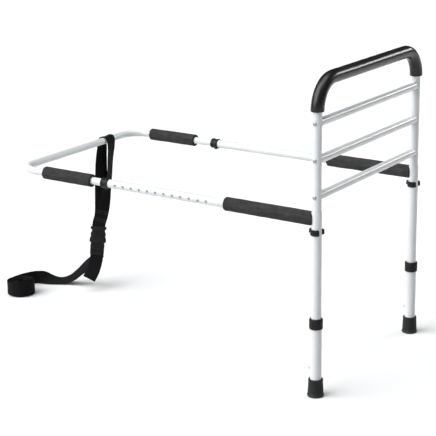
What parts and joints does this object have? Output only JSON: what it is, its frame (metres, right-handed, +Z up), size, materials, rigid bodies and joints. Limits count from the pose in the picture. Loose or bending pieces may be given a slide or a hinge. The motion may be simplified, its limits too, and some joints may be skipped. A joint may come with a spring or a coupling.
{
  "type": "bed assist rail",
  "caption": "Bed assist rail: padded steel handle with crossbars on adjustable legs, joined by rails to a telescoping U-frame that slides under the mattress, with a webbing tie-down strap.",
  "frame": {"origin": "on the floor, under the middle of the steelwork, with the strap and its buckle left out", "axes": "+X from the under-mattress U-frame to the handle, +Z up, -Y the side of the near leg"},
  "size_m": [1.1573, 0.541, 0.7817],
  "materials": {
    "white_steel": "smooth white powder coat, semi-gloss",
    "hardware": "bright zinc plate",
    "foam": "matt closed-cell foam",
    "grip": "smooth soft grip with a sheen",
    "black_plastic": "moulded, fine satin",
    "foot_rubber": "matt moulded rubber",
    "webbing": "woven polypropylene webbing"
  },
  "bodies": {
    "leg_near": {"leg_tube_near": "white_steel", "leg_collar_near": "black_plastic", "foot_near": "foot_rubber"},
    "uprights": {"handle_tube": "white_steel", "handle_grip": "grip", "crossbar_bottom": "white_steel", "crossbar_insert_bottom_near": "hardware", "crossbar_bolt_bottom_near": "hardware", "crossbar_insert_bottom_far": "hardware", "crossbar_bolt_bottom_far": "hardware", "crossbar_middle": "white_steel", "crossbar_insert_middle_near": "hardware", "crossbar_bolt_middle_near": "hardware", "crossbar_insert_middle_far": "hardware", "crossbar_bolt_middle_far": "hardware", "crossbar_top": "white_steel", "crossbar_insert_top_near": "hardware", "crossbar_bolt_top_near": "hardware", "crossbar_insert_top_far": "hardware", "crossbar_bolt_top_far": "hardware", "post_near": "white_steel", "post_clip_near": "black_plastic", "rail_near": "white_steel", "rail_foam_near": "foam", "rail_collar_near": "black_plastic", "post_far": "white_steel", "post_clip_far": "black_plastic", "rail_far": "white_steel", "rail_foam_far": "foam", "rail_collar_far": "black_plastic", "leg_near_spring": "hardware", "leg_far_spring": "hardware"},
    "leg_far": {"leg_tube_far": "white_steel", "leg_collar_far": "black_plastic", "foot_far": "foot_rubber"},
    "u_frame": {"u_tube": "white_steel", "u_foam_near": "foam", "u_foam_far": "foam", "u_near_spring": "hardware", "u_far_spring": "hardware", "strap_loop": "webbing", "buckle_clip": "black_plastic", "strap_tail": "webbing"},
    "buckle_socket": {"buckle_socket": "black_plastic"},
    "strap_roll": {"strap_lead": "webbing", "strap_roll": "webbing"},
    "u_near_button": {"u_near_button": "hardware"},
    "u_far_button": {"u_far_button": "hardware"},
    "leg_near_button": {"leg_near_button": "hardware"},
    "leg_far_button": {"leg_far_button": "hardware"}
  },
  "joints": [
    {"name": "height_near", "type": "slide", "parent": "leg_near", "child": "uprights", "axis": [0, 0, 1], "range_m": [0, 0.0762], "deforming": ["leg_near_button"]},
    {"name": "height_far", "type": "slide", "parent": "uprights", "child": "leg_far", "axis": [0, 0, -1], "range_m": [0, 0.0762], "deforming": ["leg_far_button"]},
    {"name": "u_frame_reach", "type": "slide", "parent": "uprights", "child": "u_frame", "axis": [-1, 0, 0], "range_m": [-0.0254, 0.254], "deforming": ["u_near_button", "u_far_button"]},
    {"name": "buckle_release", "type": "slide", "parent": "u_frame", "child": "buckle_socket", "axis": [0.0397, 0.1191, 0.9921], "range_m": [0, 0.024], "deforming": ["strap_loop"]},
    {"name": "strap_pay_out", "type": "slide", "parent": "u_frame", "child": "strap_roll", "axis": [0, 0, -1], "range_m": [0, 0.0762], "deforming": ["strap_lead"]},
    {"name": "u_near_button_press", "type": "slide", "parent": "u_frame", "child": "u_near_button", "axis": [0, 1, 0], "range_m": [0, 0.0037], "stiffness_N_per_m": 1500, "springref_m": -0.002, "deforming": ["u_near_spring"]},
    {"name": "u_far_button_press", "type": "slide", "parent": "u_frame", "child": "u_far_button", "axis": [0, -1, 0], "range_m": [0, 0.0037], "stiffness_N_per_m": 1500, "springref_m": -0.002, "deforming": ["u_far_spring"]},
    {"name": "leg_near_button_press", "type": "slide", "parent": "uprights", "child": "leg_near_button", "axis": [1, 0, 0], "range_m": [0, 0.0037], "stiffness_N_per_m": 1500, "springref_m": -0.002, "deforming": ["leg_near_spring"]},
    {"name": "leg_far_button_press", "type": "slide", "parent": "uprights", "child": "leg_far_button", "axis": [1, 0, 0], "range_m": [0, 0.0037], "stiffness_N_per_m": 1500, "springref_m": -0.002, "deforming": ["leg_far_spring"]}
  ],
  "couplings": [
    {"joint": "height_far", "follows": "height_near", "ratio": 1},
    {"joint": "strap_pay_out", "follows": "height_near", "ratio": 1}
  ]
}
